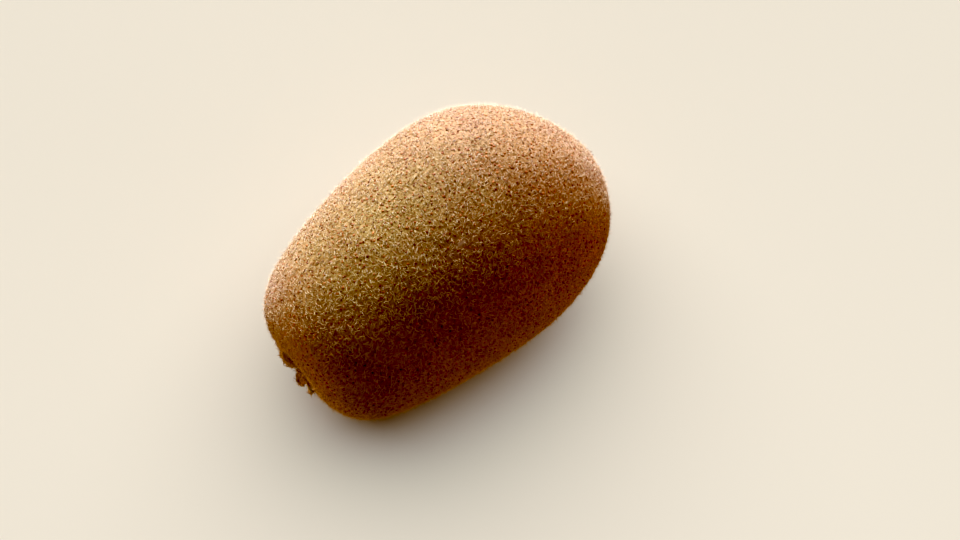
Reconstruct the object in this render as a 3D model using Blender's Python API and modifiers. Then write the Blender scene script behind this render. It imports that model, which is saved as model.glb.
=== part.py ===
"""A whole kiwi fruit, lying on its side as it rests on a table.

The fruit is an egg-shaped turned body, blunt at the stem end and slightly
pointed at the other, a little flatter from top to bottom than it is wide, and
bent sideways near its tip. A shallow basin at the stem end holds a woody
button with the stalk scar and five dry, curled sepals. A low dried scar, where
the styles stood, sits in a dimple on the tip.

Metres. +Z is up, +X is the long way, towards the tip, and the stem end is
at -X. The origin is at the bottom centre of the whole fruit's box.
"""

import math

import bpy
import numpy as np
from mathutils import Matrix, Vector

MM = 0.001

# ---- the fruit ---------------------------------------------------------
LENGTH = 88.0 * MM  # stem end to tip, along the fruit's own axis
HEIGHT_RATIO = 0.95  # height over width: the fruit is slightly flattened
STEM_EXPONENT = 0.257  # small: the stem end is blunt, with round shoulders
TIP_EXPONENT = 0.634  # over a half: the other end comes to a soft point
GIRTH = 29.3 * MM  # radius half way along
GIRTH_SLOPE = 15.0 * MM  # the fruit is fuller on the tip's side
GIRTH_CURVE = 7.7 * MM
TIP_BEND = -3.7 * MM  # sideways bend of the tip
STEM_BEND = -0.7 * MM  # sideways bend of the stem end
BEND_START = 0.1  # share of the half length that stays straight
RESTING_TILT = math.radians(6.4)  # the tip sits higher when the fruit balances
FLAT_DEPTH = 0.3 * MM  # how deep the resting spot is pressed flat

# ---- the basin at the stem end -------------------------------------------
BASIN_RADIUS = 8.5 * MM
BASIN_DEPTH = 1.6 * MM

# ---- the dimple on the tip -------------------------------------------------
DIMPLE_RADIUS = 3.4 * MM
DIMPLE_DEPTH = 0.5 * MM

# ---- pieces in the basin and on the tip ---------------------------------
GAP = 0.3 * MM
BUTTON_RADIUS = 2.5 * MM
BUTTON_HEIGHT = 1.5 * MM
SCAR_RADIUS = 1.3 * MM
SCAR_DEPTH = 0.6 * MM

SEPAL_FOOT = 3.15 * MM  # distance of a sepal's foot from the axis
SEPAL_THICKNESS = 0.42 * MM

STYLE_RADIUS = 2.1 * MM
STYLE_HEIGHT = 1.2 * MM
STYLE_HOLLOW = 0.4 * MM

# ---- how finely the turned shapes are divided --------------------------
BODY_STEPS = 60
BODY_STATIONS = 40
BASIN_STATIONS = 7
DIMPLE_STATIONS = 4
SMALL_STEPS = 24


def clear_scene():
    for old in list(bpy.data.objects):
        bpy.data.objects.remove(old, do_unlink=True)


def make_collection(name):
    made = bpy.data.collections.new(name)
    bpy.context.scene.collection.children.link(made)
    return made


def make_material(name, colour, roughness):
    made = bpy.data.materials.new(name)
    made.use_nodes = True
    shader = made.node_tree.nodes["Principled BSDF"]
    shader.inputs["Base Color"].default_value = (*colour, 1.0)
    shader.inputs["Roughness"].default_value = roughness
    shader.inputs["Metallic"].default_value = 0.0
    made.diffuse_color = (*colour, 1.0)
    return made


def girth(u):
    """The fruit's radius at u, from -1 at the stem end to 1 at the tip."""
    full = GIRTH + GIRTH_SLOPE * u + GIRTH_CURVE * u * u
    return (1 + u) ** STEM_EXPONENT * (1 - u) ** TIP_EXPONENT * full


def sideways(u):
    """How far the fruit's axis has bent sideways at u."""
    reach = 1 - BEND_START
    to_tip = np.clip((u - BEND_START) / reach, 0, 1)
    to_stem = np.clip((-u - BEND_START) / reach, 0, 1)
    return TIP_BEND * to_tip**2.5 + STEM_BEND * to_stem**2.5


def basin(radius):
    """Depth of the basin's floor under the rim, at a radius from the axis."""
    inside = np.clip(1 - (radius / BASIN_RADIUS) ** 2, 0, 1)
    return BASIN_DEPTH * inside**2


def dimple(radius):
    """The same for the small dimple on the tip."""
    inside = np.clip(1 - (radius / DIMPLE_RADIUS) ** 2, 0, 1)
    return DIMPLE_DEPTH * inside**2


def fruit_profile():
    """(radius, height) pairs from the dimple's middle down to the basin's."""
    swing = np.linspace(0, math.pi, 8001)
    u = np.cos(swing)
    u = np.sign(u) * (1 - (1 - np.abs(u)) ** 1.6)  # crowd them at both ends
    radius = girth(u)
    height = u * LENGTH / 2
    tip, stem = u > 0, u < 0

    def end_height(r, side):
        """Height of the smooth end at a radius, before its hollow is sunk."""
        order = np.argsort(radius[side])
        return float(np.interp(r, radius[side][order], height[side][order]))

    points = []
    for i in range(DIMPLE_STATIONS):
        r = DIMPLE_RADIUS * i / DIMPLE_STATIONS
        points.append((r, end_height(r, tip) - float(dimple(r))))
    side = (tip & (radius >= DIMPLE_RADIUS)) | (stem & (radius >= BASIN_RADIUS))
    side |= u == 0
    r_side, h_side = radius[side], height[side]
    steps = np.hypot(np.diff(r_side), np.diff(h_side))
    walked = np.concatenate([[0], np.cumsum(steps)])
    for s in np.linspace(0, walked[-1], BODY_STATIONS):
        points.append(
            (float(np.interp(s, walked, r_side)), float(np.interp(s, walked, h_side)))
        )
    for i in range(1, BASIN_STATIONS + 1):
        r = BASIN_RADIUS * (1 - i / BASIN_STATIONS)
        points.append((r, end_height(r, stem) + float(basin(r))))
    points[0] = (0.0, points[0][1])
    points[-1] = (0.0, points[-1][1])
    return points


def turned(name, profile, steps):
    """A mesh made by turning a profile about Z."""
    outline = bpy.data.meshes.new(name + "_outline")
    edges = [(i, i + 1) for i in range(len(profile) - 1)]
    outline.from_pydata([(r, 0, z) for r, z in profile], edges, [])
    holder = bpy.data.objects.new(name + "_turning", outline)
    bpy.context.scene.collection.objects.link(holder)
    screw = holder.modifiers.new("turn", "SCREW")
    screw.axis = "Z"
    screw.angle = 2 * math.pi
    screw.steps = steps
    screw.render_steps = steps
    screw.use_merge_vertices = True
    screw.merge_threshold = 0.000001
    screw.use_smooth_shade = True
    bpy.context.view_layer.update()
    graph = bpy.context.evaluated_depsgraph_get()
    mesh = bpy.data.meshes.new_from_object(holder.evaluated_get(graph))
    mesh.name = name
    bpy.data.objects.remove(holder, do_unlink=True)
    bpy.data.meshes.remove(outline)
    return mesh


def add_part(name, mesh, material, parent, collection):
    part = bpy.data.objects.new(name, mesh)
    collection.objects.link(part)
    part.parent = parent
    mesh.materials.clear()
    mesh.materials.append(material)
    return part


def make_fruit(material, parent, collection):
    mesh = turned("fruit_body", fruit_profile(), BODY_STEPS)
    for v in mesh.vertices:
        v.co.x *= HEIGHT_RATIO
        v.co.y += float(sideways(v.co.z / (LENGTH / 2)))
    mesh.shade_smooth()
    return add_part("fruit_body", mesh, material, parent, collection)


def make_button(material, parent, collection):
    """A low disc with rounded edges and the stalk's scar sunk in its middle."""
    top, r, pit = BUTTON_HEIGHT, BUTTON_RADIUS, SCAR_RADIUS
    profile = [
        (0, top - SCAR_DEPTH),
        (0.6 * pit, top - SCAR_DEPTH),
        (pit, top - 0.25 * SCAR_DEPTH),
        (1.25 * pit, top),
        (0.82 * r, top - 0.03 * r),
        (0.96 * r, 0.82 * top),
        (r, 0.55 * top),
        (0.97 * r, 0.25 * top),
        (0.85 * r, 0.04 * top),
        (0, 0),
    ]
    mesh = turned("calyx_button", profile, SMALL_STEPS)
    mesh.set_sharp_from_angle(angle=math.radians(50))
    return add_part("calyx_button", mesh, material, parent, collection)


def make_sepal(number, length, width, rise, curl, cup, material, parent, collection):
    """A small dry leaf: a cupped grid that climbs from its foot and curls out.

    Its own +X points away from the fruit's axis, +Z away from the fruit and
    +Y along the ring. rise and curl are its slopes at its foot and its tip.
    """
    rows, columns = 9, 7
    verts, faces = [], []
    along_x, along_z = 0.0, 0.0
    for i in range(rows):
        s = i / (rows - 1)
        slope = rise + (curl - rise) * s
        if i:
            step = length / (rows - 1)
            along_x += math.cos(slope) * step
            along_z += math.sin(slope) * step
        half = 0.5 * width * (0.62 + 0.38 * math.sin(math.pi * min(1, s / 0.9)))
        half *= math.sqrt(max(0.0, 1 - max(0.0, (s - 0.55) / 0.47) ** 2))
        half = max(half, 0.12 * width)
        for j in range(columns):
            t = 2 * j / (columns - 1) - 1
            lift = cup * t * t * math.sin(math.pi * (0.2 + 0.8 * s))
            wave = 0.05 * width * math.sin(2.1 * number + 3 * s + 2.5 * t) * s
            bow = lift + wave
            verts.append(
                (
                    along_x - math.sin(slope) * bow,
                    t * half,
                    along_z + math.cos(slope) * bow,
                )
            )
    for i in range(rows - 1):
        for j in range(columns - 1):
            a = i * columns + j
            faces.append((a, a + columns, a + columns + 1, a + 1))
    name = f"sepal_{number}"
    mesh = bpy.data.meshes.new(name)
    mesh.from_pydata(verts, [], faces)
    mesh.shade_smooth()
    sepal = add_part(name, mesh, material, parent, collection)
    thick = sepal.modifiers.new("thickness", "SOLIDIFY")
    thick.thickness = SEPAL_THICKNESS
    thick.offset = 0.0
    thick.use_even_offset = True
    return sepal


def make_style_scar(material, parent, collection):
    """A low round scar with a raised rim: the stumps of the dried styles."""
    r, tall, hollow = STYLE_RADIUS, STYLE_HEIGHT, STYLE_HOLLOW
    profile = [
        (0, tall - 0.6 * hollow),
        (0.3 * r, tall - hollow),
        (0.55 * r, tall - 0.8 * hollow),
        (0.72 * r, tall - 0.1 * hollow),
        (0.84 * r, tall),
        (0.95 * r, 0.86 * tall),
        (r, 0.55 * tall),
        (0.93 * r, 0.2 * tall),
        (0.8 * r, 0.02 * tall),
        (0, 0),
    ]
    mesh = turned("style_remnant", profile, SMALL_STEPS)
    mesh.set_sharp_from_angle(angle=math.radians(60))
    return add_part("style_remnant", mesh, material, parent, collection)


def world_box(parts):
    """The lowest and highest corners of the evaluated parts."""
    bpy.context.view_layer.update()
    graph = bpy.context.evaluated_depsgraph_get()
    low = Vector((math.inf,) * 3)
    high = Vector((-math.inf,) * 3)
    for part in parts:
        seen = part.evaluated_get(graph)
        mesh = seen.to_mesh()
        for v in mesh.vertices:
            p = part.matrix_world @ v.co
            for k in range(3):
                low[k] = min(low[k], p[k])
                high[k] = max(high[k], p[k])
        seen.to_mesh_clear()
    return low, high


def main():
    clear_scene()
    parts = make_collection("kiwi_fruit")
    cutters = make_collection("cutters")

    skin = make_material("fuzzy_skin", (0.36, 0.19, 0.06), 0.85)
    dry_leaf = make_material("dry_sepal", (0.30, 0.17, 0.07), 0.9)
    woody = make_material("woody_button", (0.16, 0.08, 0.035), 0.8)
    dry_style = make_material("dried_style", (0.10, 0.05, 0.025), 0.85)

    # The whole fruit hangs on one empty, and the long axis on a second one:
    # its +Z is the fruit's axis, towards the tip.
    whole = bpy.data.objects.new("whole_fruit", None)
    axis = bpy.data.objects.new("fruit_axis", None)
    for empty in (whole, axis):
        parts.objects.link(empty)
    axis.parent = whole
    axis.rotation_euler = (0, math.pi / 2 - RESTING_TILT, 0)

    fruit = make_fruit(skin, axis, parts)

    # The basin's own empty: +Z points out of the fruit.
    seat = bpy.data.objects.new("stem_seat", None)
    parts.objects.link(seat)
    seat.parent = axis
    seat.location = (0, STEM_BEND, -LENGTH / 2)
    seat.rotation_euler = (math.pi, 0, 0)

    button = make_button(woody, seat, parts)
    button.location = (0, 0, GAP - BASIN_DEPTH)

    # angle round the ring, length, width, slope at the foot and at the tip, cup
    shapes = [
        (72, 3.6, 3.4, 72, -8, 0.50),
        (144, 3.4, 3.2, 66, -30, 0.45),
        (216, 4.0, 3.9, 64, -22, 0.55),
        (288, 3.5, 3.3, 70, -14, 0.40),
        (0, 3.7, 3.4, 74, 2, 0.50),
    ]
    sepals = []
    for number, (angle, length, width, rise, curl, cup) in enumerate(shapes, 1):
        sepal = make_sepal(
            number,
            length * MM,
            width * MM,
            math.radians(rise),
            math.radians(curl),
            cup * MM,
            dry_leaf,
            seat,
            parts,
        )
        turn = Matrix.Rotation(math.radians(angle), 4, "Z")
        foot = Vector((SEPAL_FOOT, 0, 0.45 * MM - float(basin(SEPAL_FOOT))))
        sepal.location = turn @ foot
        sepal.rotation_euler = (0, 0, math.radians(angle))
        sepals.append(sepal)

    style = make_style_scar(dry_style, axis, parts)
    style.location = (0, TIP_BEND, LENGTH / 2 + GAP - dimple(0))

    # The resting spot: a block takes off the lowest part of the fruit.
    low, high = world_box([fruit])
    block_height = 0.01
    bpy.ops.mesh.primitive_cube_add(size=1)
    block = bpy.context.active_object
    block.name = "resting_plane"
    for holder in list(block.users_collection):
        holder.objects.unlink(block)
    cutters.objects.link(block)
    block.scale = (0.06, 0.06, block_height)
    block.location = (0, 0, low.z + FLAT_DEPTH - block_height / 2)
    block.parent = whole
    block.hide_render = True
    block.display_type = "WIRE"
    cut = fruit.modifiers.new("flat_spot", "BOOLEAN")
    cut.operation = "DIFFERENCE"
    cut.solver = "EXACT"
    cut.object = block

    # The whole box's bottom centre goes to the origin.
    low, high = world_box([fruit, button, style, *sepals])
    whole.location = (-(low.x + high.x) / 2, -(low.y + high.y) / 2, -low.z)
    bpy.context.view_layer.update()


main()
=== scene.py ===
import math

import bpy
import numpy as np
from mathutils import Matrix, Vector, kdtree


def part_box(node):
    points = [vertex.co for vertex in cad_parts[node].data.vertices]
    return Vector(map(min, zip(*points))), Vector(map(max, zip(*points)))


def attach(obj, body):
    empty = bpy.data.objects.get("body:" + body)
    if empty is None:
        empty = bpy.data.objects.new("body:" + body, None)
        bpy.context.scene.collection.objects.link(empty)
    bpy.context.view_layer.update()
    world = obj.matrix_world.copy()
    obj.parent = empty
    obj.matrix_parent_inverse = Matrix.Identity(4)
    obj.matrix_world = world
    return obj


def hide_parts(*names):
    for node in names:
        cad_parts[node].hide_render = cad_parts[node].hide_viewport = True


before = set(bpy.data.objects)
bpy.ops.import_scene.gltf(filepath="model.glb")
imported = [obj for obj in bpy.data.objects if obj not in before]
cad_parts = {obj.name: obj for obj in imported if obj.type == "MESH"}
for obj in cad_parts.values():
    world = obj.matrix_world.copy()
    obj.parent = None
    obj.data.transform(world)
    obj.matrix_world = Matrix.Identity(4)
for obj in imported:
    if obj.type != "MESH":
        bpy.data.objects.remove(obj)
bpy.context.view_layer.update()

MM = 0.001

# ---------------------------------------------------------------- the fruit's shape
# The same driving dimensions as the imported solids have.
LENGTH = 88.0 * MM
HEIGHT_RATIO = 0.95
STEM_EXPONENT = 0.257
TIP_EXPONENT = 0.634
GIRTH = 29.3 * MM
GIRTH_SLOPE = 15.0 * MM
GIRTH_CURVE = 7.7 * MM
TIP_BEND = -3.7 * MM
STEM_BEND = -0.7 * MM
BEND_START = 0.1
TILT = math.radians(6.4)
FLAT_DEPTH = 0.3 * MM
BASIN_RADIUS = 8.5 * MM
BASIN_DEPTH = 1.6 * MM
DIMPLE_RADIUS = 3.4 * MM
DIMPLE_DEPTH = 0.5 * MM

TURN = math.pi / 2 - TILT  # about Y: takes the fruit's axis from +Z to its place
C, S = math.cos(TURN), math.sin(TURN)
ROT = np.array([[C, 0, S], [0, 1, 0], [-S, 0, C]])


def girth(u):
    full = GIRTH + GIRTH_SLOPE * u + GIRTH_CURVE * u * u
    return (1 + u) ** STEM_EXPONENT * (1 - u) ** TIP_EXPONENT * full


def sideways(u):
    reach = 1 - BEND_START
    to_tip = np.clip((u - BEND_START) / reach, 0, 1)
    to_stem = np.clip((-u - BEND_START) / reach, 0, 1)
    return TIP_BEND * to_tip**2.5 + STEM_BEND * to_stem**2.5


def hollow(radius, reach, depth):
    return depth * np.clip(1 - (radius / reach) ** 2, 0, 1) ** 2


def fine_profile():
    """(walked length, radius, height) from the middle of the tip to the middle of the basin."""
    swing = np.linspace(0, math.pi, 20001)
    u = np.cos(swing)
    u = np.sign(u) * (1 - (1 - np.abs(u)) ** 1.8)
    radius = girth(u)
    height = u * LENGTH / 2
    height = height - np.where(u > 0, hollow(radius, DIMPLE_RADIUS, DIMPLE_DEPTH), 0)
    height = height + np.where(u < 0, hollow(radius, BASIN_RADIUS, BASIN_DEPTH), 0)
    walked = np.concatenate([[0], np.cumsum(np.hypot(np.diff(radius), np.diff(height)))])
    return walked, radius, height


WALKED, RADIUS, HEIGHT = fine_profile()
WHOLE = WALKED[-1]


def raw_surface(s, phi):
    """Points of the smooth fruit, at a length s walked from the tip and an angle phi round its axis."""
    r = np.interp(s, WALKED, RADIUS)
    z = np.interp(s, WALKED, HEIGHT)
    x = HEIGHT_RATIO * r * np.cos(phi)
    y = r * np.sin(phi) + sideways(z / (LENGTH / 2))
    return np.stack([x, y, z], -1) @ ROT.T


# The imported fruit's box says where the fruit lies.
_s, _p = np.meshgrid(np.linspace(0, WHOLE, 500), np.linspace(0, 2 * math.pi, 361))
_cloud = raw_surface(_s.ravel(), _p.ravel())
body_low, body_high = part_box("fruit_body")
ORIGIN = np.array(
    [
        (body_low.x + body_high.x) / 2 - (_cloud[:, 0].min() + _cloud[:, 0].max()) / 2,
        (body_low.y + body_high.y) / 2 - (_cloud[:, 1].min() + _cloud[:, 1].max()) / 2,
        -_cloud[:, 2].min() - FLAT_DEPTH,
    ]
)


def surface(s, phi):
    return raw_surface(s, phi) + ORIGIN


def unit(v):
    return v / np.maximum(np.linalg.norm(v, axis=-1, keepdims=True), 1e-12)


def surface_frame(s, phi):
    """Point, outward normal, direction towards the stem end, direction round the fruit."""
    e = 0.00004
    s = np.clip(s, 2 * e, WHOLE - 2 * e)
    p = surface(s, phi)
    along = unit(surface(s + e, phi) - surface(s - e, phi))
    r = np.maximum(np.interp(s, WALKED, RADIUS), 1e-5)
    dphi = e / r
    around = unit(surface(s, phi + dphi) - surface(s, phi - dphi))
    normal = unit(np.cross(along, around))
    centre = ORIGIN + (ROT @ np.array([0, 0, 1.0])) * ((p - ORIGIN) @ (ROT @ np.array([0, 0, 1.0])))[:, None] * 0.75
    flip = ((p - centre) * normal).sum(-1) < 0
    normal[flip] *= -1
    around = unit(np.cross(normal, along))
    return p, normal, along, around


# ---------------------------------------------------------------- vector noise
_rng = np.random.default_rng(7)
_PERM = np.concatenate([_rng.permutation(256)] * 3)
_GRAD = unit(_rng.normal(size=(256, 3)))


def noise(p, seed=0):
    """Gradient noise of points, about -1 to 1."""
    p = np.asarray(p, float) + seed * 17.37
    cell = np.floor(p).astype(int)
    f = p - cell
    cell &= 255
    w = f * f * f * (f * (f * 6 - 15) + 10)
    total = 0.0
    for dx in (0, 1):
        for dy in (0, 1):
            for dz in (0, 1):
                h = _PERM[_PERM[_PERM[cell[..., 0] + dx] + (cell[..., 1] + dy)] + (cell[..., 2] + dz)]
                g = _GRAD[h % 256]
                d = f - np.array([dx, dy, dz])
                weight = (
                    (w[..., 0] if dx else 1 - w[..., 0])
                    * (w[..., 1] if dy else 1 - w[..., 1])
                    * (w[..., 2] if dz else 1 - w[..., 2])
                )
                total = total + weight * (g * d).sum(-1)
    return total * 1.6


def relief(p):
    """How far the real skin stands off the smooth fruit: soft lumps, then small grain."""
    q = p / MM
    lumps = 0.16 * noise(q / 17.0, 1) + 0.06 * noise(q / 6.5, 2)
    grain = 0.035 * noise(q / 1.9, 3) + 0.03 * noise(q / 0.95, 4)
    return (lumps + grain) * MM


def settle(points, floor=0.00004):
    """Keeps a piece on the surface that the fruit lies on: what would be lower is pressed flat."""
    z = points[:, 2]
    points[:, 2] = np.where(z < floor, floor, z)
    return points


# ---------------------------------------------------------------- mesh helpers
def build_mesh(name, verts, loops, sizes, smooth=True):
    mesh = bpy.data.meshes.new(name)
    mesh.vertices.add(len(verts))
    mesh.vertices.foreach_set("co", np.asarray(verts, np.float32).ravel())
    mesh.loops.add(len(loops))
    mesh.loops.foreach_set("vertex_index", np.asarray(loops, np.int32))
    mesh.polygons.add(len(sizes))
    starts = np.concatenate([[0], np.cumsum(sizes)[:-1]]).astype(np.int32)
    mesh.polygons.foreach_set("loop_start", starts)
    mesh.update(calc_edges=True)
    if smooth:
        mesh.shade_smooth()
    return mesh


def add_object(name, mesh, material, slot, *nodes):
    made = bpy.data.objects.new(name, mesh)
    bpy.context.scene.collection.objects.link(made)
    made.data.materials.append(material)
    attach(made, "root")
    if nodes:
        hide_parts(*nodes)
    return made


def store(mesh, name, values):
    layer = mesh.attributes.new(name, "FLOAT", "POINT")
    layer.data.foreach_set("value", np.asarray(values, np.float32))


# ---------------------------------------------------------------- material helpers
class Nodes:
    """A short way to write a material's node tree."""

    def __init__(self, name):
        self.material = bpy.data.materials.new(name)
        self.material.use_nodes = True
        self.tree = self.material.node_tree
        self.shader = self.tree.nodes["Principled BSDF"]
        self.coords = self.tree.nodes.new("ShaderNodeTexCoord").outputs["Object"]

    def link(self, a, b):
        self.tree.links.new(a, b)

    def attribute(self, name):
        n = self.tree.nodes.new("ShaderNodeAttribute")
        n.attribute_name = name
        return n.outputs["Fac"]

    def noise(self, scale, detail=2.0, rough=0.5, distort=0.0, coords=None):
        n = self.tree.nodes.new("ShaderNodeTexNoise")
        n.inputs["Scale"].default_value = scale
        n.inputs["Detail"].default_value = detail
        n.inputs["Roughness"].default_value = rough
        n.inputs["Distortion"].default_value = distort
        self.link(coords or self.coords, n.inputs["Vector"])
        return n.outputs["Fac"]

    def voronoi(self, scale, feature="F1", coords=None, output="Distance"):
        n = self.tree.nodes.new("ShaderNodeTexVoronoi")
        n.feature = feature
        n.inputs["Scale"].default_value = scale
        self.link(coords or self.coords, n.inputs["Vector"])
        return n.outputs[output]

    def ramp(self, fac, stops, mode="LINEAR"):
        n = self.tree.nodes.new("ShaderNodeValToRGB")
        n.color_ramp.interpolation = mode
        elements = n.color_ramp.elements
        while len(elements) < len(stops):
            elements.new(0.5)
        for e, (at, colour) in zip(elements, stops):
            e.position = at
            c = colour if isinstance(colour, tuple) else (colour,) * 3
            e.color = (*c, 1.0)
        self.link(fac, n.inputs["Fac"])
        return n.outputs["Color"]

    def mix(self, fac, a, b, blend="MIX"):
        n = self.tree.nodes.new("ShaderNodeMix")
        n.data_type = "RGBA"
        n.blend_type = blend
        n.clamp_factor = True
        for value, socket in ((fac, n.inputs[0]), (a, n.inputs[6]), (b, n.inputs[7])):
            if isinstance(value, bpy.types.NodeSocket):
                self.link(value, socket)
            elif isinstance(value, tuple):
                socket.default_value = (*value, 1.0)
            else:
                socket.default_value = value
        return n.outputs[2]

    def math(self, op, a, b=0.0, c=0.0, clamp=False):
        n = self.tree.nodes.new("ShaderNodeMath")
        n.operation = op
        n.use_clamp = clamp
        for value, socket in zip((a, b, c), n.inputs):
            if isinstance(value, bpy.types.NodeSocket):
                self.link(value, socket)
            else:
                socket.default_value = value
        return n.outputs[0]

    def bump(self, height, strength, distance, normal=None):
        n = self.tree.nodes.new("ShaderNodeBump")
        n.inputs["Strength"].default_value = strength
        n.inputs["Distance"].default_value = distance
        self.link(height, n.inputs["Height"])
        if normal is not None:
            self.link(normal, n.inputs["Normal"])
        return n.outputs["Normal"]

    def base(self, colour):
        self.link(colour, self.shader.inputs["Base Color"])

    def const(self, **values):
        names = {
            "roughness": "Roughness",
            "specular": "Specular IOR Level",
            "sheen": "Sheen Weight",
            "sheen_roughness": "Sheen Roughness",
        }
        for key, value in values.items():
            self.shader.inputs[names[key]].default_value = value


# ---------------------------------------------------------------- materials
def skin_material():
    """Tan skin under the fuzz: olive and golden areas, fine mottling and small red-brown dots."""
    m = Nodes("fuzzy_skin")
    area = m.attribute("region")
    blotch = m.noise(130, 3.0, 0.6)
    mottle = m.noise(1050, 3.0, 0.65)
    dots = m.voronoi(1250, "F1")
    golden = m.ramp(blotch, [(0.32, (0.29, 0.138, 0.042)), (0.68, (0.42, 0.225, 0.082))])
    olive = m.ramp(blotch, [(0.32, (0.28, 0.170, 0.043)), (0.68, (0.40, 0.260, 0.078))])
    ground = m.mix(area, golden, olive)
    fleck = m.ramp(mottle, [(0.36, 0.50), (0.50, 0.0)])
    ground = m.mix(fleck, ground, (0.23, 0.090, 0.026))
    pale = m.ramp(mottle, [(0.55, 0.0), (0.72, 0.6)])
    ground = m.mix(pale, ground, (0.58, 0.38, 0.165))
    ground = m.mix(m.ramp(dots, [(0.10, 0.8), (0.26, 0.0)]), ground, (0.22, 0.062, 0.018))
    m.base(m.mix(m.attribute("scuff"), ground, (0.66, 0.47, 0.36)))
    m.const(roughness=0.72, specular=0.28, sheen=0.35, sheen_roughness=0.4)
    m.shader.inputs["Sheen Tint"].default_value = (1.0, 0.93, 0.86, 1.0)
    fine = m.noise(1900, 3.0, 0.6)
    soft = m.bump(mottle, 0.55, 0.0004)
    m.link(m.bump(fine, 0.45, 0.0002, soft), m.shader.inputs["Normal"])
    return m.material


def fuzz_material(name, root, middle, tip, dark):
    """Hairs: each has a tone of its own, and gets paler from root to tip."""
    m = Nodes(name)
    along = m.attribute("along")
    tone = m.attribute("tone")
    grade = m.ramp(along, [(0.0, root), (0.35, middle), (1.0, tip)])
    shade = m.ramp(tone, [(0.0, 1.0), (0.28, 0.8), (0.55, 0.12), (1.0, 0.0)])
    olive = m.mix(m.attribute("region"), grade, (0.90, 1.0, 0.78), "MULTIPLY")
    grain = m.ramp(m.noise(2600, 2.0, 0.5), [(0.3, 0.82), (0.7, 1.0)])
    m.base(m.mix(1.0, m.mix(shade, olive, dark), grain, "MULTIPLY"))
    m.const(roughness=0.42, specular=0.65, sheen=0.42, sheen_roughness=0.35)
    m.shader.inputs["Sheen Tint"].default_value = (1.0, 0.90, 0.86, 1.0)
    return m.material


def speck_material():
    """The small hard scales that stand in the fuzz: red-brown, some almost black."""
    m = Nodes("skin_specks")
    tone = m.attribute("tone")
    along = m.attribute("along")
    colour = m.ramp(
        tone, [(0.0, (0.110, 0.026, 0.008)), (0.5, (0.30, 0.076, 0.018)), (1.0, (0.54, 0.190, 0.048))]
    )
    edge = m.ramp(along, [(0.0, 0.7), (0.5, 1.0), (1.0, 1.15)])
    grain = m.ramp(m.noise(5200, 2.0, 0.6), [(0.3, 0.75), (0.7, 1.1)])
    m.base(m.mix(1.0, m.mix(1.0, colour, edge, "MULTIPLY"), grain, "MULTIPLY"))
    m.const(roughness=0.6, specular=0.35)
    return m.material


def sepal_material():
    """Dry sepal: brown and papery, veined lengthwise, with a worn, paler or darker margin."""
    m = Nodes("dry_sepal")
    along, across = m.attribute("along"), m.attribute("across")
    pale, burnt = m.attribute("pale"), m.attribute("burnt")
    veins = m.math("SINE", m.math("MULTIPLY", across, 21.0))
    veins = m.ramp(m.math("MULTIPLY_ADD", veins, 0.5, 0.5), [(0.15, 0.55), (0.6, 0.0)])
    patch = m.noise(900, 4.0, 0.65)
    leaf = m.ramp(patch, [(0.3, (0.58, 0.350, 0.155)), (0.7, (0.88, 0.640, 0.350))])
    leaf = m.mix(veins, leaf, (0.24, 0.110, 0.036))
    foot = m.ramp(along, [(0.0, 0.85), (0.20, 0.0)])
    leaf = m.mix(foot, leaf, (0.085, 0.030, 0.013))
    leaf = m.mix(m.math("MULTIPLY", burnt, 0.8), leaf, (0.105, 0.030, 0.012))
    m.base(m.mix(pale, leaf, (0.90, 0.89, 0.80)))
    m.const(roughness=0.8, specular=0.2)
    ridges = m.bump(m.noise(2600, 4.0, 0.7), 0.7, 0.0003)
    m.link(ridges, m.shader.inputs["Normal"])
    return m.material


def wood_material(name, dark, pale, ring_scale):
    """Weathered wood or dry plant stumps: dark pores, pale fibre and a rough surface."""
    m = Nodes(name)
    fibre = m.noise(ring_scale, 5.0, 0.72, 0.6)
    pores = m.voronoi(ring_scale * 1.7, "F1")
    body = m.ramp(fibre, [(0.3, dark), (0.52, tuple(0.5 * (a + b) for a, b in zip(dark, pale))), (0.72, pale)])
    hole = m.ramp(pores, [(0.14, 0.8), (0.34, 0.0)])
    m.base(m.mix(hole, body, tuple(0.35 * a for a in dark)))
    m.const(roughness=0.78, specular=0.25)
    rough = m.bump(fibre, 0.8, 0.0003)
    m.link(m.bump(pores, 0.6, 0.00025, rough), m.shader.inputs["Normal"])
    return m.material


def nearest(points, centres):
    """How far each point lies from its nearest centre, and which centre that is."""
    tree = kdtree.KDTree(len(centres))
    for k, c in enumerate(centres):
        tree.insert(c, k)
    tree.balance()
    distance, index = np.zeros(len(points)), np.zeros(len(points), int)
    for k, q in enumerate(points):
        _, index[k], distance[k] = tree.find(q)
    return distance, index


# ---------------------------------------------------------------- the skin
def olive_share(p):
    """Where the fruit is more olive: a long patch on the upper side of the stem's half."""
    q = (p - ORIGIN) / MM
    patch = np.exp(-(((q[:, 0] + 16) / 24) ** 2) - ((q[:, 1] - 2) / 20) ** 2 - ((q[:, 2] - 22) / 22) ** 2)
    return np.clip(1.1 * patch + 0.35 * noise(q / 9.0, 21), 0, 1)


SCUFF_AT = ORIGIN + np.array([-3.88, -12.57, 24.76]) * MM
SCUFF_ALONG = np.array([0.87, -0.05, 0.49])
SCUFF_LONG, SCUFF_WIDE = 1.35 * MM, 0.42 * MM


def scuff_share(p):
    """One small rubbed mark on the upper side."""
    d = p - SCUFF_AT
    far = d @ SCUFF_ALONG
    wide = np.linalg.norm(d - far[..., None] * SCUFF_ALONG, axis=-1)
    return np.clip(1.5 - np.hypot(far / SCUFF_LONG, wide / SCUFF_WIDE) + 0.3 * noise(p / MM / 0.7, 31), 0, 1)


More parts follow.
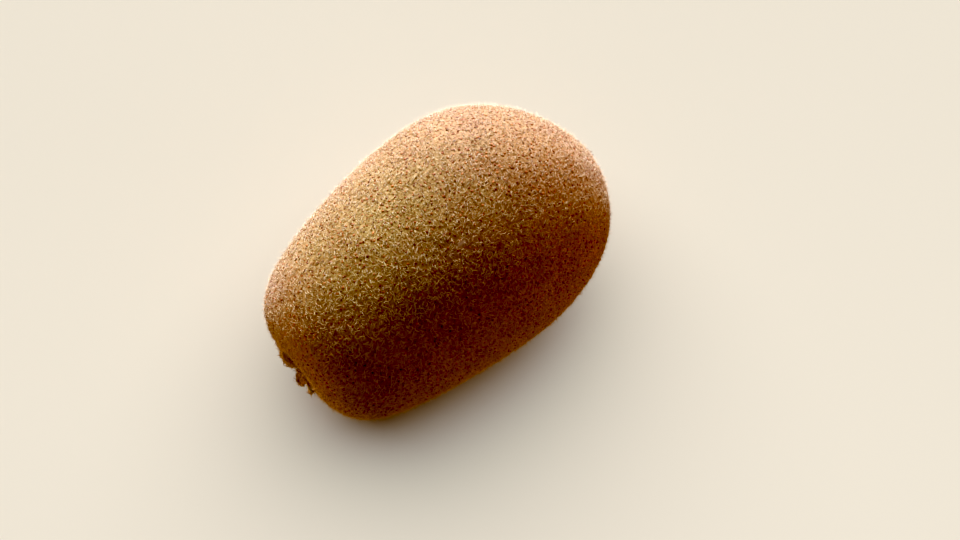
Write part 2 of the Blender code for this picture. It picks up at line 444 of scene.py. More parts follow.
def make_skin():
    stations, steps = 268, 270
    # Closer stations over the shoulder and in the hollows at both ends
    t = np.linspace(0, 1, stations + 1)
    s = WHOLE * (t - 0.02 * np.sin(2 * math.pi * t))
    s = np.clip(s, 0, WHOLE)[1:-1]
    phi = np.arange(steps) * 2 * math.pi / steps
    ss, pp = np.meshgrid(s, phi, indexing="ij")
    p, n, _, _ = surface_frame(ss.ravel(), pp.ravel())
    p = p + n * relief(p)[:, None]
    tip = surface(np.array([0.0]), np.array([0.0]))
    stem = surface(np.array([WHOLE]), np.array([0.0]))
    verts = settle(np.concatenate([p, tip, stem]), 0.0)
    rows = len(s)
    i, j = np.meshgrid(np.arange(rows - 1), np.arange(steps), indexing="ij")
    i, j = i.ravel(), j.ravel()
    a, b = i * steps + j, i * steps + (j + 1) % steps
    quads = np.stack([a, a + steps, b + steps, b], -1)
    v = s / WHOLE

    def quad_uv(i, j):
        u = np.stack([j, j, j + 1, j + 1], -1) / steps
        w = np.stack([v[i], v[i + 1], v[i + 1], v[i]], -1)
        return np.stack([u, w], -1)

    k = np.arange(steps)
    first = np.stack([np.full(steps, rows * steps), k, (k + 1) % steps], -1)
    last0 = (rows - 1) * steps
    last = np.stack([np.full(steps, rows * steps + 1), last0 + (k + 1) % steps, last0 + k], -1)
    uv_first = np.stack([np.stack([k + 0.5, k, k + 1], -1) / steps, np.tile([0, v[0], v[0]], (steps, 1))], -1)
    uv_last = np.stack([np.stack([k + 0.5, k + 1, k], -1) / steps, np.tile([1, v[-1], v[-1]], (steps, 1))], -1)
    loops = np.concatenate([quads.ravel(), first.ravel(), last.ravel()])
    uv = np.concatenate([quad_uv(i, j).reshape(-1, 2), uv_first.reshape(-1, 2), uv_last.reshape(-1, 2)])
    sizes = np.concatenate([np.full(len(quads), 4), np.full(2 * steps, 3)])
    mesh = build_mesh("kiwi_skin", verts, loops, sizes)
    layer = mesh.uv_layers.new(name="OFBake")
    layer.data.foreach_set("uv", (0.002 + 0.996 * uv).astype(np.float32).ravel())
    store(mesh, "region", olive_share(verts))
    store(mesh, "scuff", scuff_share(verts))
    tri = quads[:, [0, 1, 2]]
    volume = np.einsum("ij,ij->i", verts[tri[:, 0]], np.cross(verts[tri[:, 1]], verts[tri[:, 2]])).sum()
    if volume < 0:
        mesh.flip_normals()
    return add_object("kiwi_skin", mesh, skin_material(), "fuzzy_skin", "fruit_body")


# ---------------------------------------------------------------- the fuzz
def scatter(spacing, rng, jitter=0.45, start=0.0, stop=1.0):
    """Roots spread evenly over the fruit: rings along the fruit, evenly filled, then moved about."""
    out_s, out_phi = [], []
    rings = np.arange(WHOLE * start + spacing / 2, WHOLE * stop, spacing)
    for s in rings:
        r = float(np.interp(s, WALKED, RADIUS))
        count = max(1, int(round(2 * math.pi * r * 0.975 / spacing)))
        phi = (np.arange(count) + rng.random()) * 2 * math.pi / count
        phi = phi + rng.uniform(-jitter, jitter, count) * 2 * math.pi / count
        out_s.append(s + rng.uniform(-jitter, jitter, count) * spacing)
        out_phi.append(phi)
    return np.clip(np.concatenate(out_s), 0.0001, WHOLE - 0.0001), np.concatenate(out_phi)


def skin_points(s, phi):
    """Frames on the real skin, with its relief."""
    p, n, along, around = surface_frame(s, phi)
    return p + n * relief(p)[:, None], n, along, around


def cell_uvs(count, faces):
    """One small cell of the map for each copy, in which its sides lie on each other."""
    cells = int(math.ceil(math.sqrt(count)))
    cx = (np.arange(count) % cells)[:, None]
    cy = (np.arange(count) // cells)[:, None]
    pad = 0.12
    blocks = []
    for _, spots in faces:
        u = (cx + pad + (1 - 2 * pad) * np.array([q[0] for q in spots])[None]) / cells
        v = (cy + pad + (1 - 2 * pad) * np.array([q[1] for q in spots])[None]) / cells
        blocks.append(np.stack([u, v], -1))
    return np.concatenate(blocks, 1).reshape(-1, 2)


def copies_mesh(name, rings, faces, along, values, smooth=True):
    """Many closed copies of one small shape. rings holds each of its points for all copies."""
    count, per = len(rings[0]), len(rings)
    verts = np.stack(rings, 1).reshape(-1, 3)
    first = (np.arange(count) * per)[:, None]
    loops = np.concatenate([first + np.array(f)[None] for f, _ in faces], 1).ravel()
    sizes = np.tile([len(f) for f, _ in faces], count)
    mesh = build_mesh(name, verts, loops, sizes, smooth)
    layer = mesh.uv_layers.new(name="OFBake")
    layer.data.foreach_set("uv", cell_uvs(count, faces).astype(np.float32).ravel())
    store(mesh, "along", np.tile(along, count))
    for key, value in values.items():
        store(mesh, key, np.repeat(value, per))
    return mesh


def strand_mesh(name, spine, normal, width, values):
    """Closed three-sided hairs on spines of count x points x 3, each ending in a point."""
    count, points = spine.shape[:2]
    rings = []
    half = (width / 2)[:, None]
    for i in range(points - 1):
        before = spine[:, max(i - 1, 0)]
        tangent = unit(spine[:, i + 1] - before)
        side = unit(np.cross(tangent, normal) + 1e-4)
        up = unit(np.cross(side, tangent))
        scale = 1.0 - 0.45 * (i / (points - 1)) ** 1.5
        c = spine[:, i]
        rings += [
            c - side * half * scale - up * half * scale * 0.45,
            c + side * half * scale - up * half * scale * 0.45,
            c + up * half * scale,
        ]
    rings.append(spine[:, -1])
    faces = [([0, 2, 1], [(0, 0), (1, 0), (0.5, 0.1)])]
    steps = points - 1
    sides = ((0, 1), (1, 2), (2, 0))
    for i in range(steps - 1):
        v0, v1 = i / steps, (i + 1) / steps
        for a, b in sides:
            a0, b0 = 3 * i + a, 3 * i + b
            faces.append(([a0, b0, b0 + 3, a0 + 3], [(0, v0), (1, v0), (1, v1), (0, v1)]))
    i, v0 = steps - 1, (steps - 1) / steps
    for a, b in sides:
        faces.append(([3 * i + a, 3 * i + b, 3 * steps], [(0, v0), (1, v0), (0.5, 1)]))
    along = np.concatenate([np.repeat(np.arange(steps) / steps, 3), [1.0]])
    return copies_mesh(name, rings, faces, along, values)


def lean(normal, along, around, azimuth, height):
    """A direction at an azimuth in the skin's plane and a height above it."""
    flat = along * np.cos(azimuth)[:, None] + around * np.sin(azimuth)[:, None]
    return unit(flat * np.cos(height)[:, None] + normal * np.sin(height)[:, None])


def curled(p, n, along, around, azimuth, rises, turns, lengths, sunk=0.12 * MM):
    """Spines that leave the skin and curl: one rise and one turn for each of their steps."""
    steps = len(rises)
    spine = []
    at = None
    for k in range(steps):
        azimuth = azimuth + turns[k]
        d = lean(n, along, around, azimuth, rises[k])
        if at is None:
            at = p - n * sunk
            spine.append(at)
        at = at + d * (lengths / steps)[:, None]
        spine.append(at)
    return np.stack(spine, 1)


def clear_of_floor(spine, margin=0.06 * MM):
    return spine[..., 2].min(1) > margin


def make_specks(rng):
    """Small hard scales, about 1.2 mm apart; returns where they are."""
    s, phi = scatter(1.18 * MM, rng, 0.48)
    p, n, along, around = skin_points(s, phi)
    size = rng.uniform(0.17, 0.37, len(p)) * MM * (1 + 0.25 * noise(p / MM / 6.0, 41))
    keep = (p[:, 2] > 0.35 * MM) & (rng.random(len(p)) < 0.90) & (scuff_share(p) < 0.05)
    p, n, along, around, size = p[keep], n[keep], along[keep], around[keep], size[keep]
    count = len(p)
    spin = rng.uniform(0, 2 * math.pi, count)
    a = along * np.cos(spin)[:, None] + around * np.sin(spin)[:, None]
    b = np.cross(n, a)
    long = rng.uniform(1.0, 1.6, count)
    tall = size * rng.uniform(0.35, 0.70, count)
    sides = 4
    rings = []
    for level, scale in ((-0.08 * MM, 1.05), (0.75, 0.72)):
        for k in range(sides):
            t = 2 * math.pi * k / sides
            rough = rng.uniform(0.82, 1.15, count)
            lift = np.full(count, level) if level < 0 else tall * level
            rings.append(
                p
                + a * (size * long * rough * scale * math.cos(t))[:, None]
                + b * (size * rough * scale * math.sin(t))[:, None]
                + n * lift[:, None]
            )
    rings.append(p + n * tall[:, None])
    faces = [([3, 2, 1, 0], [(0.1, 0.0), (0.9, 0.0), (0.9, 0.15), (0.1, 0.15)])]
    for k in range(sides):
        j = (k + 1) % sides
        u0, u1 = k / sides, (k + 1) / sides
        faces.append(([k, j, j + sides, k + sides], [(u0, 0.2), (u1, 0.2), (u1, 0.7), (u0, 0.7)]))
        faces.append(([k + sides, j + sides, 2 * sides], [(u0, 0.7), (u1, 0.7), ((u0 + u1) / 2, 1.0)]))
    along_value = np.array([0.0] * sides + [0.6] * sides + [1.0])
    tone = np.clip(0.45 + rng.normal(0, 0.25, count) + 0.25 * noise(p / MM / 8.0, 42), 0, 1)
    mesh = copies_mesh("skin_specks", rings, faces, along_value, {"tone": tone})
    add_object("skin_specks", mesh, speck_material(), "fuzzy_skin")
    return p, size * long


def make_fuzz(rng, centres, sizes):
    fuzz = fuzz_material(
        "fuzz",
        (0.44, 0.245, 0.085),
        (0.69, 0.455, 0.210),
        (0.93, 0.745, 0.505),
        (0.33, 0.120, 0.036),
    )
    wool = fuzz_material(
        "wool",
        (0.62, 0.360, 0.140),
        (0.88, 0.610, 0.320),
        (1.00, 0.820, 0.580),
        (0.33, 0.120, 0.036),
    )
    # The short curled hairs that make the mat
    s, phi = scatter(0.70 * MM, rng)
    p, n, along, around = skin_points(s, phi)
    count = len(p)
    q = p / MM
    swirl = noise(q / 2.2, 5) * 2.6 + noise(q / 7.0, 6) * 2.0
    azimuth = swirl + rng.normal(0, 1.0, count) + np.where(rng.random(count) < 0.35, math.pi, 0)
    bend = rng.normal(0, 0.75, count)
    turns = (np.zeros(count), bend, bend * rng.uniform(0.3, 1.3, count))
    rises = tuple(
        np.radians(rng.uniform(lo, hi, count)) for lo, hi in ((28, 62), (-2, 26), (-28, 12))
    )
    lengths = rng.uniform(0.85, 1.75, count) * MM
    width = rng.uniform(0.10, 0.19, count) * MM
    spine = curled(p, n, along, around, azimuth, rises, turns, lengths)
    tone = np.clip(0.66 + 0.20 * noise(q / 1.6, 8) + rng.normal(0, 0.20, count), 0, 1)
    region = olive_share(p)
    keep = clear_of_floor(spine) & (scuff_share(p) < 0.15)
    distance, index = nearest((spine[:, 1] + spine[:, 2]) / 2, centres)
    keep &= distance > sizes[index] * 0.95
    tone = np.clip(tone - 0.14 * np.clip(1.6 - distance / sizes[index], 0, 1), 0, 1)
    chosen = np.flatnonzero(keep)
    pieces = 3
    for k in range(pieces):
        m = chosen[k::pieces]
        mesh = strand_mesh(
            f"fuzz_curls_{k + 1}", spine[m], n[m], width[m], {"tone": tone[m], "region": region[m]}
        )
        add_object(f"fuzz_curls_{k + 1}", mesh, fuzz, "fuzzy_skin")
    # Fine single hairs that stand out of the mat and show at the edge
    s, phi = scatter(0.62 * MM, rng)
    p, n, along, around = skin_points(s, phi)
    count = len(p)
    azimuth = rng.uniform(0, 2 * math.pi, count)
    rise = np.radians(rng.uniform(20, 72, count))
    lengths = rng.uniform(0.7, 1.9, count) * MM
    width = rng.uniform(0.055, 0.10, count) * MM
    spine = curled(p, n, along, around, azimuth, (rise,), (np.zeros(count),), lengths)
    keep = clear_of_floor(spine) & (scuff_share(p) < 0.3)
    tone = np.clip(0.85 + rng.normal(0, 0.15, count), 0, 1)
    mesh = strand_mesh(
        "fuzz_fine", spine[keep], n[keep], width[keep], {"tone": tone[keep], "region": olive_share(p)[keep]}
    )
    add_object("fuzz_fine", mesh, fuzz, "fuzzy_skin")
    return wool


# ---------------------------------------------------------------- the stem end and the tip
def seat_to_world(v):
    """From the basin's own frame, with +z out of the stem end, to the fruit's place."""
    v = np.asarray(v, float) * np.array([1.0, -1.0, -1.0])
    return (v + np.array([0, STEM_BEND, -LENGTH / 2])) @ ROT.T + ORIGIN


def tip_to_world(v):
    return (np.asarray(v, float) + np.array([0, TIP_BEND, LENGTH / 2])) @ ROT.T + ORIGIN


# angle round the ring, length, width, slope at the foot and at the tip, cup, paleness of its tip, how burnt it is
SEPALS = [
    (72, 3.6, 3.4, 72, -8, 0.50, 1.0, 0.3),
    (144, 3.4, 3.2, 66, -30, 0.45, 0.0, 0.9),
    (216, 4.0, 3.9, 64, -22, 0.55, 0.25, 0.0),
    (288, 3.5, 3.3, 70, -14, 0.40, 0.1, 0.5),
    (0, 3.7, 3.4, 74, 2, 0.50, 0.0, 0.7),
]
WOOL = (120, 170, 900, 260, 200)
SEPAL_FOOT = 3.15 * MM


def sepal_sheet(number, s, t):
    """Middle surface of a sepal, in the basin's frame, for s from foot to tip and t across."""
    angle, length, width, rise, curl, cup = SEPALS[number][:6]
    rise, curl = math.radians(rise), math.radians(curl)
    # a torn, wavy outline and a tip that twists a little to one side
    ragged = 1 + 0.10 * noise(np.stack([s * 5.0, np.sign(t) * 3.0, s * 0 + number], -1), 51)
    reach = 1 - 0.10 * np.abs(t) ** 3 + 0.07 * noise(np.stack([t * 3.2, s * 0, s * 0 + number], -1), 52) * s
    u = s * reach
    grid = np.linspace(0, 1.15, 240)
    slope = rise + (curl - rise) * grid
    step = length * MM * (grid[1] - grid[0])
    out = np.concatenate([[0], np.cumsum(np.cos(slope))[:-1] * step])
    up = np.concatenate([[0], np.cumsum(np.sin(slope))[:-1] * step])
    x, z, a = np.interp(u, grid, out), np.interp(u, grid, up), np.interp(u, grid, slope)
    half = 0.5 * width * MM * (0.62 + 0.38 * np.sin(math.pi * np.minimum(1, u / 0.9)))
    half = half * np.sqrt(np.clip(1 - np.clip((u - 0.55) / 0.47, 0, 1) ** 2, 0.02, 1)) * ragged
    bow = cup * MM * t * t * np.sin(math.pi * (0.2 + 0.8 * u))
    q = np.stack([u * length, t * width / 2, u * 0 + 3.1 * number], -1)
    crumple = (0.24 * noise(q / 1.25, 53) + 0.12 * noise(q / 0.5, 54)) * MM * np.clip(u * 4, 0.25, 1)
    folds = 0.05 * MM * np.cos(t * 9.0 + number) * np.clip(1 - u, 0.2, 1)
    bow = bow + crumple + folds
    side = t * half + 0.12 * MM * np.sin(2.6 * u + 1.7 * number) * u
    p = np.stack([x - np.sin(a) * bow, side, z + np.cos(a) * bow], -1)
    turn = math.radians(angle)
    ct, st = math.cos(turn), math.sin(turn)
    p = p @ np.array([[ct, st, 0], [-st, ct, 0], [0, 0, 1]])
    foot_floor = BASIN_DEPTH * (1 - (SEPAL_FOOT / BASIN_RADIUS) ** 2) ** 2
    return p + np.array([SEPAL_FOOT * ct, SEPAL_FOOT * st, 0.45 * MM - foot_floor])


def sheet_normals(number, s, t):
    e = 0.01
    ds = sepal_sheet(number, np.clip(s + e, 0, 1), t) - sepal_sheet(number, np.clip(s - e, 0, 1), t)
    dt = sepal_sheet(number, s, np.clip(t + e, -1, 1)) - sepal_sheet(number, s, np.clip(t - e, -1, 1))
    return unit(np.cross(ds, dt)), unit(ds), unit(dt)


def make_sepal(number, material):
    """A crumpled papery leaf with a worn margin: two skins, joined round the edge."""
    rows, columns = 27, 17
    s, t = np.meshgrid(np.linspace(0, 1, rows), np.linspace(-1, 1, columns), indexing="ij")
    s, t = s.ravel(), t.ravel()
    middle = sepal_sheet(number, s, t)
    n, _, _ = sheet_normals(number, s, t)
    rim = np.minimum(np.minimum(1 - np.abs(t), 1 - s) * 4.0, 1.0)
    thick = (0.05 + 0.11 * rim + 0.05 * (1 - s)) * MM
    top, under = middle + n * thick[:, None], middle - n * thick[:, None]
    verts = seat_to_world(np.concatenate([top, under]))
    i, j = np.meshgrid(np.arange(rows - 1), np.arange(columns - 1), indexing="ij")
    a = (i * columns + j).ravel()
    quads = np.stack([a, a + columns, a + columns + 1, a + 1], -1)
    lower = quads[:, ::-1] + rows * columns
    edge = (
        [k for k in range(columns)]
        + [r * columns + columns - 1 for r in range(1, rows)]
        + [(rows - 1) * columns + k for k in range(columns - 2, -1, -1)]
        + [r * columns for r in range(rows - 2, 0, -1)]
    )
    edge = np.array(edge)
    following = np.roll(edge, -1)
    border = np.stack([edge, following, following + rows * columns, edge + rows * columns], -1)
    quads = np.concatenate([quads, lower, border])
    mesh = build_mesh(f"sepal_{number + 1}_leaf", verts, quads.ravel(), np.full(len(quads), 4))
    make_outward(mesh, verts, quads)
    store(mesh, "along", np.tile(s, 2))
    store(mesh, "across", np.tile(t, 2))
    pale = SEPALS[number][6] * np.clip((s - 0.42) / 0.2, 0, 1)
    store(mesh, "pale", np.tile(pale, 2))
    store(mesh, "burnt", np.full(2 * len(s), SEPALS[number][7]))
    add_object(f"sepal_{number + 1}_leaf", mesh, material, "dry_sepal", f"sepal_{number + 1}")


def make_outward(mesh, verts, quads):
    """Flips the faces of a closed mesh if they look inwards."""
    centre = verts.mean(0)
    v = verts - centre
    volume = 0.0
    for tri in (quads[:, [0, 1, 2]], quads[:, [0, 2, 3]]):
        volume += np.einsum("ij,ij->i", v[tri[:, 0]], np.cross(v[tri[:, 1]], v[tri[:, 2]])).sum()
    if volume < 0:
        mesh.flip_normals()


def make_wool(rng, material):
    """The sepals' own woolly hairs, on both of their sides."""
    spines, normals, widths, tones = [], [], [], []
    for number in range(len(SEPALS)):
        count = WOOL[number]
        s = rng.uniform(0.06, 0.97, count)
        t = rng.uniform(-0.96, 0.96, count)
        p = sepal_sheet(number, s, t)
        n, ds, dt = sheet_normals(number, s, t)
        side = np.where(rng.random(count) < 0.5, 1.0, -1.0)
        n = n * side[:, None]
        azimuth = rng.normal(0, 0.9, count)
        lengths = rng.uniform(0.7, 1.7, count) * MM * (0.75 + 0.5 * s)
        bend = rng.choice([-1.0, 1.0], count) * rng.uniform(0.4, 1.3, count)
        turns = (np.zeros(count), bend, bend, bend * rng.uniform(0.2, 1.2, count))
        rises = tuple(np.radians(rng.uniform(lo, hi, count)) for lo, hi in ((15, 60), (0, 45), (-20, 40), (-40, 30)))
        spine = curled(p, n, ds, dt, azimuth, rises, turns, lengths, 0.02 * MM)
        spines.append(seat_to_world(spine.reshape(-1, 3)).reshape(spine.shape))
        normals.append(unit(seat_to_world(p + n * MM) - seat_to_world(p)))
        widths.append(rng.uniform(0.12, 0.23, count) * MM)
        tones.append(np.clip(0.86 - 0.5 * SEPALS[number][7] + rng.normal(0, 0.2, count), 0, 1))
    spine, normal, width, tone = (np.concatenate(k) for k in (spines, normals, widths, tones))
    count = len(spine)
    mesh = strand_mesh("sepal_wool", spine, normal, width, {"tone": tone, "region": np.zeros(count)})
    add_object("sepal_wool", mesh, material, "dry_sepal")


def make_stem_wool(rng, material):
    """Longer, looser hairs on the shoulder and in the basin round the sepals."""
    count, tuft = 1220, 170
    near = rng.random(count) < 0.6
    s = WHOLE - np.abs(np.where(near, rng.normal(5.6, 1.0, count), rng.normal(8.4, 2.0, count))) * MM
    s = np.clip(s, WHOLE - 17 * MM, WHOLE - 3.2 * MM)
    phi = rng.uniform(0, 2 * math.pi, count)
    # one denser tuft on the shoulder's upper side
    s[-tuft:] = WHOLE - rng.normal(6.3, 0.9, tuft) * MM
    phi[-tuft:] = np.radians(rng.normal(112, 15, tuft))
    p, n, along, around = skin_points(s, phi)
    azimuth = rng.normal(0, 0.9, count) + noise(p / MM / 2.5, 61) * 1.5
    lengths = rng.uniform(0.9, 2.0, count) * MM
    lengths[-tuft:] *= 1.2
    bend = rng.choice([-1.0, 1.0], count) * rng.uniform(0.2, 1.1, count)
    turns = (np.zeros(count), bend, bend * 1.2, bend * rng.uniform(0.2, 1.2, count))
    rises = tuple(np.radians(rng.uniform(lo, hi, count)) for lo, hi in ((35, 75), (10, 45), (-20, 30), (-45, 20)))
    for rise in rises:
        rise[-tuft:] += math.radians(24)
    spine = curled(p, n, along, around, azimuth, rises, turns, lengths)
    keep = clear_of_floor(spine)
    width = np.where(near, rng.uniform(0.12, 0.21, count), rng.uniform(0.09, 0.16, count)) * MM
    tone = np.clip(np.where(near, 0.84, 0.66) + rng.normal(0, 0.2, count), 0, 1)
    tone[-tuft:] = 1
    mesh = strand_mesh("stem_wool", spine[keep], n[keep], width[keep], {"tone": tone[keep], "region": np.zeros(keep.sum())})
    add_object("stem_wool", mesh, material, "fuzzy_skin")


def turned_grid(name, profile, steps, shape, place, material, slot, node):
    """A closed turned piece whose points shape() then makes irregular."""
    profile = np.array(profile) * MM
    walked = np.concatenate([[0], np.cumsum(np.hypot(*np.diff(profile, axis=0).T))])
    rows = 40
    at = np.linspace(0, walked[-1], rows)
    r, z = np.interp(at, walked, profile[:, 0]), np.interp(at, walked, profile[:, 1])
    r, z = r[1:-1], z[1:-1]
    phi = np.arange(steps) * 2 * math.pi / steps
    rr, pp = np.meshgrid(r, phi, indexing="ij")
    zz = np.repeat(z[:, None], steps, 1)
    p = np.stack([rr * np.cos(pp), rr * np.sin(pp), zz], -1).reshape(-1, 3)
    p = np.concatenate([p, [[0, 0, profile[0, 1]], [0, 0, profile[-1, 1]]]])
    p = shape(p)
    rows = len(r)
    i, j = np.meshgrid(np.arange(rows - 1), np.arange(steps), indexing="ij")
    a = (i * steps + j).ravel()
    b = (i * steps + (j + 1) % steps).ravel()
    quads = np.stack([a, a + steps, b + steps, b], -1)
    k = np.arange(steps)
    first = np.stack([np.full(steps, rows * steps), k, (k + 1) % steps], -1)
    last = np.stack([np.full(steps, rows * steps + 1), (rows - 1) * steps + (k + 1) % steps, (rows - 1) * steps + k], -1)
    verts = place(p)
    loops = np.concatenate([quads.ravel(), first.ravel(), last.ravel()])
    sizes = np.concatenate([np.full(len(quads), 4), np.full(2 * steps, 3)])
    mesh = build_mesh(name, verts, loops, sizes)
    make_outward(mesh, verts, quads)
    add_object(name, mesh, material, slot, node)


def make_button():
    """The woody button: a cracked rim and a fibrous pit where the stalk broke off."""

    def shape(p):
        q = p / MM
        r = np.hypot(q[:, 0], q[:, 1])
        phi = np.arctan2(q[:, 1], q[:, 0])
        out = 1 + 0.06 * np.sin(5 * phi + 0.6) + 0.05 * noise(q / 0.8, 71)
        top = np.clip((q[:, 2] - 0.5) / 0.8, 0, 1)
        cracks = -0.16 * np.abs(np.sin(6.5 * phi + 2.0 * noise(q / 1.5, 72))) ** 12 * np.clip((r - 1.0) / 0.6, 0, 1)
        bundles = 0.16 * np.cos(9 * phi) * np.exp(-(((r - 0.85) / 0.22) ** 2))
        rough = 0.10 * noise(q / 0.55, 73) + 0.05 * noise(q / 0.25, 74)
        made = p * np.stack([out, out, np.ones_like(out)], -1)
        made[:, 2] += (cracks + bundles + rough) * top * MM
        made[:, 2] += (0.3 - BASIN_DEPTH / MM) * MM
        return made

    top, r, pit, deep = 1.5, 2.5, 1.3, 0.6
    profile = [
        (0, top - deep), (0.6 * pit, top - deep), (pit, top - 0.25 * deep), (1.25 * pit, top),
        (0.82 * r, top - 0.03 * r), (0.96 * r, 0.82 * top), (r, 0.55 * top), (0.97 * r, 0.25 * top),
        (0.85 * r, 0.04 * top), (0, 0),
    ]
    wood = wood_material("woody_button", (0.110, 0.058, 0.032), (0.40, 0.260, 0.150), 1500)
    turned_grid("button_wood", profile, 60, shape, seat_to_world, wood, "woody_button", "calyx_button")


def make_style_scar(rng):
    """The tip's scar: a low rough disc, with a ring of broken dry style stumps."""

    def shape(p):
        q = p / MM
        phi = np.arctan2(q[:, 1], q[:, 0])
        out = 1 + 0.07 * np.sin(4 * phi + 1.0) + 0.07 * noise(q / 0.7, 81)
        top = np.clip((q[:, 2] - 0.35) / 0.6, 0, 1)
        rough = 0.13 * noise(q / 0.5, 82) + 0.06 * noise(q / 0.22, 83)
        made = p * np.stack([out, out, np.ones_like(out)], -1)
        made[:, 2] += rough * top * MM
        made[:, 2] += (0.3 - DIMPLE_DEPTH / MM) * MM
        return made

    r, tall, low = 2.1, 1.2, 0.4
    profile = [
        (0, tall - 0.6 * low), (0.3 * r, tall - low), (0.55 * r, tall - 0.8 * low), (0.72 * r, tall - 0.1 * low),
        (0.84 * r, tall), (0.95 * r, 0.86 * tall), (r, 0.55 * tall), (0.93 * r, 0.2 * tall),
        (0.8 * r, 0.02 * tall), (0, 0),
    ]
    dry = wood_material("dried_style", (0.085, 0.040, 0.021), (0.30, 0.170, 0.088), 1700)
    turned_grid("style_scar", profile, 54, shape, tip_to_world, dry, "dried_style", "style_remnant")
    # the stumps
    count = 34
    phi = (np.arange(count) + rng.uniform(-0.3, 0.3, count)) * 2 * math.pi / count * 1.0
    ring = np.where(np.arange(count) % 3 == 0, 0.75, 1.55) * MM * rng.uniform(0.9, 1.1, count)
    root = np.stack([ring * np.cos(phi), ring * np.sin(phi), np.full(count, 0.45 * MM)], -1)
    lean_out = np.stack([np.cos(phi), np.sin(phi), np.zeros(count)], -1) * rng.uniform(-0.1, 0.6, count)[:, None]
    step = unit(lean_out + np.array([0, 0, 1.0]))
    reach = rng.uniform(0.25, 0.42, count)[:, None] * MM
    twist = rng.normal(0, 0.35, (count, 3))
    spine = [root]
    for k in range(3):
        spine.append(spine[-1] + unit(step + twist * 0.5 * k) * reach)
    spine = np.stack(spine, 1)
    spine = tip_to_world(spine.reshape(-1, 3)).reshape(spine.shape)
    normal = np.tile((ROT @ np.array([1.0, 0.2, 0.1]))[None], (count, 1))
    mesh = strand_mesh(
        "style_stumps", spine, normal, rng.uniform(0.28, 0.46, count) * MM, {"tone": rng.random(count)}
    )
    add_object("style_stumps", mesh, dry, "dried_style")


def make_ends(wool):
    rng = np.random.default_rng(44)
    leaf = sepal_material()
    for number in range(len(SEPALS)):
        make_sepal(number, leaf)
    make_wool(rng, wool)
    make_stem_wool(rng, wool)
    make_button()
    make_style_scar(rng)


# ---------------------------------------------------------------- floor, light, camera
def make_floor():
    bpy.ops.mesh.primitive_plane_add(size=40)
    floor = bpy.context.active_object
    floor.name = "floor"
    m = Nodes("pale_floor")
    grain = m.noise(3.0, 2.0, 0.5)
    m.base(m.ramp(grain, [(0.3, (0.79, 0.76, 0.70)), (0.7, (0.82, 0.79, 0.73))]))
    m.const(roughness=0.8, specular=0.05)
    floor.data.materials.append(m.material)
    # Its light on the fruit comes from the two soft lights that stand for the room.
    floor.visible_diffuse = False
    floor.visible_glossy = False
    floor.visible_shadow = False
    return floor


AZIMUTH, ELEVATION = math.radians(-40.56), math.radians(60)
FOCAL_PX = 1150.0
DISTANCE = 279.44 * MM
ASIDE, ABOVE = -9.30 * MM, 3.91 * MM
BACK = Vector(
    (
        math.sin(AZIMUTH) * math.cos(ELEVATION),
        -math.cos(AZIMUTH) * math.cos(ELEVATION),
        math.sin(ELEVATION),
    )
)
RIGHT = Vector((math.cos(AZIMUTH), math.sin(AZIMUTH), 0))
UP = BACK.cross(RIGHT)


def make_camera():
    data = bpy.data.cameras.new("camera")
    data.sensor_width = 36
    data.sensor_fit = "HORIZONTAL"
    data.lens = 36 * FOCAL_PX / 960
    data.clip_start = 0.01
    data.clip_end = 20
    camera = bpy.data.objects.new("camera", data)
    bpy.context.scene.collection.objects.link(camera)
    camera.location = Vector(ORIGIN) - RIGHT * ASIDE - UP * ABOVE + BACK * DISTANCE
    camera.rotation_mode = "QUATERNION"
    camera.rotation_quaternion = BACK.to_track_quat("Z", "Y")
    bpy.context.scene.camera = camera


def add_area(name, towards, distance, size, power, colour):
    """A soft light that stands in a direction from the fruit and looks at it."""
    data = bpy.data.lights.new(name, "AREA")
    data.shape = "DISK"
    data.size = size
    data.energy = power
    data.color = colour
    light = bpy.data.objects.new(name, data)
    bpy.context.scene.collection.objects.link(light)
    towards = towards.normalized()
    centre = Vector(ORIGIN)
    light.location = centre + towards * distance
    light.rotation_mode = "QUATERNION"
    light.rotation_quaternion = towards.to_track_quat("Z", "Y")
    return light


def lit_by(light, floor, state):
    """The light falls on the floor alone (INCLUDE) or on everything but the floor (EXCLUDE)."""
    group = bpy.data.collections.new(light.name + "_receivers")
    group.objects.link(floor)
    group.collection_objects[0].light_linking.link_state = state
    light.light_linking.receiver_collection = group


def add_sun(name, towards, spread, power, colour):
    lamp = bpy.data.lights.new(name, "SUN")
    lamp.energy = power
    lamp.angle = math.radians(spread)
    lamp.color = colour
    sun = bpy.data.objects.new(name, lamp)
    bpy.context.scene.collection.objects.link(sun)
    sun.rotation_mode = "QUATERNION"
    sun.rotation_quaternion = towards.normalized().to_track_quat("Z", "Y")
    return sun


def make_world():
    """A plain pale backdrop that casts no light of its own."""
    world = bpy.data.worlds.new("studio")
    bpy.context.scene.world = world
    world.use_nodes = True
    world.node_tree.nodes["Background"].inputs["Color"].default_value = (*BACKDROP, 1)
    world.cycles_visibility.diffuse = False
    world.cycles_visibility.glossy = False


BACKDROP = (0.846, 0.780, 0.651)
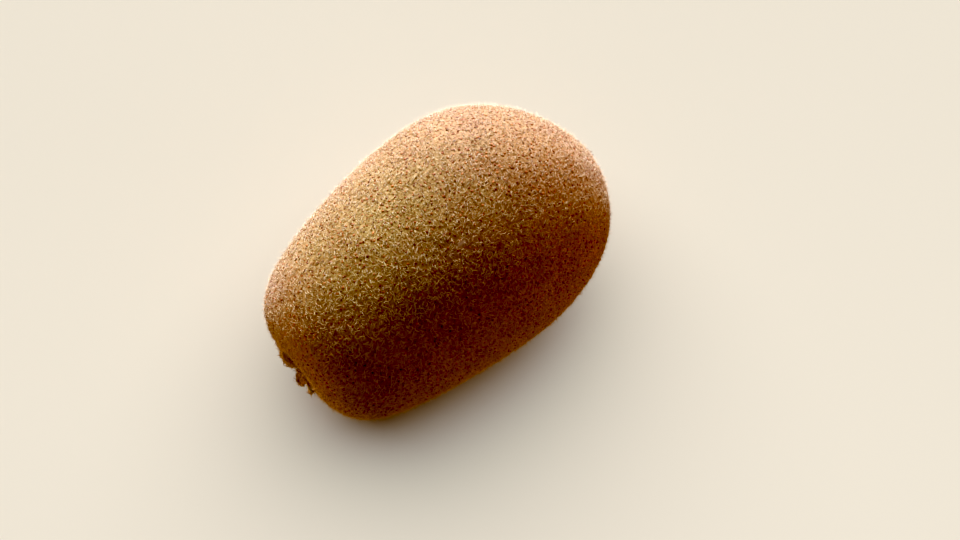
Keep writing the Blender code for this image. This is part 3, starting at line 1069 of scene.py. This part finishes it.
# name, direction (right, up, back), power, colour
WINDOWS = [
    ("window", (-0.13, 0.98, 0.01), 29.8, (1.0, 1.0, 1.09)),
    ("window_behind", (0.10, 0.85, -0.50), 2.6, (0.95, 0.96, 1.0)),
    ("side", (0.90, 0.30, 0.10), 3.9, (1.0, 0.42, 0.15)),
    ("left", (-0.80, 0.30, 0.50), 1.0, (1.0, 0.60, 0.30)),
    ("low_left", (-1.0, -0.15, 0.0), 3.6, (1.0, 0.58, 0.30)),
    ("front", (0.20, -0.90, 0.30), 0.4, (1.0, 0.75, 0.35)),
]
# the dim warm room above the fruit, and what comes back from below it
ROOM = (0.27, (1.0, 0.82, 0.42))
BELOW = (0.90, (1.0, 0.69, 0.32))


def make_lights(floor):
    """A large soft window behind the fruit, weak warm side lights and a dim warm room."""
    for name, (right, up, back), power, colour in WINDOWS:
        light = add_area(name, right * RIGHT + up * UP + back * BACK, 0.9, 0.55, power, colour)
        lit_by(light, floor, "EXCLUDE")
    lit_by(add_sun("room", Vector((0, 0, 1)), 180, *ROOM), floor, "EXCLUDE")
    lit_by(add_sun("below", Vector((0, 0, -1)), 180, *BELOW), floor, "EXCLUDE")
    lit_by(add_sun("floor_wash", UP + Vector((0, 0, 1.5)), 100, *WASH), floor, "INCLUDE")
    make_world()
    view = bpy.context.scene.view_settings
    view.view_transform = "Standard"
    view.look = "None"
    view.exposure = 0.0
    view.gamma = 1.0
    view.use_curve_mapping = True
    tone = view.curve_mapping
    tone.black_level = BLACK_LEVEL
    for curve, points in ((tone.curves[1], GREEN_CURVE), (tone.curves[2], BLUE_CURVE)):
        for at, value in points:
            curve.points.new(at, value)
    tone.curves[1].points[0].location = (0.0, 0.002)
    tone.update()


WASH = (3.68, (1.0, 0.955, 0.865))
BLACK_LEVEL = (0.030, 0.030, 0.037)
# a film-like tone: whiter highlights, warmer shade
GREEN_CURVE = ((0.03, 0.025), (0.07, 0.060), (0.20, 0.198), (0.45, 0.465), (0.80, 0.80))
BLUE_CURVE = ((0.05, 0.038), (0.10, 0.097), (0.28, 0.308), (0.45, 0.475), (0.65, 0.66))


make_camera()
skin_rng = np.random.default_rng(20)
speck_centres, speck_sizes = make_specks(skin_rng)
make_skin()
make_ends(make_fuzz(skin_rng, speck_centres, speck_sizes))
make_lights(make_floor())
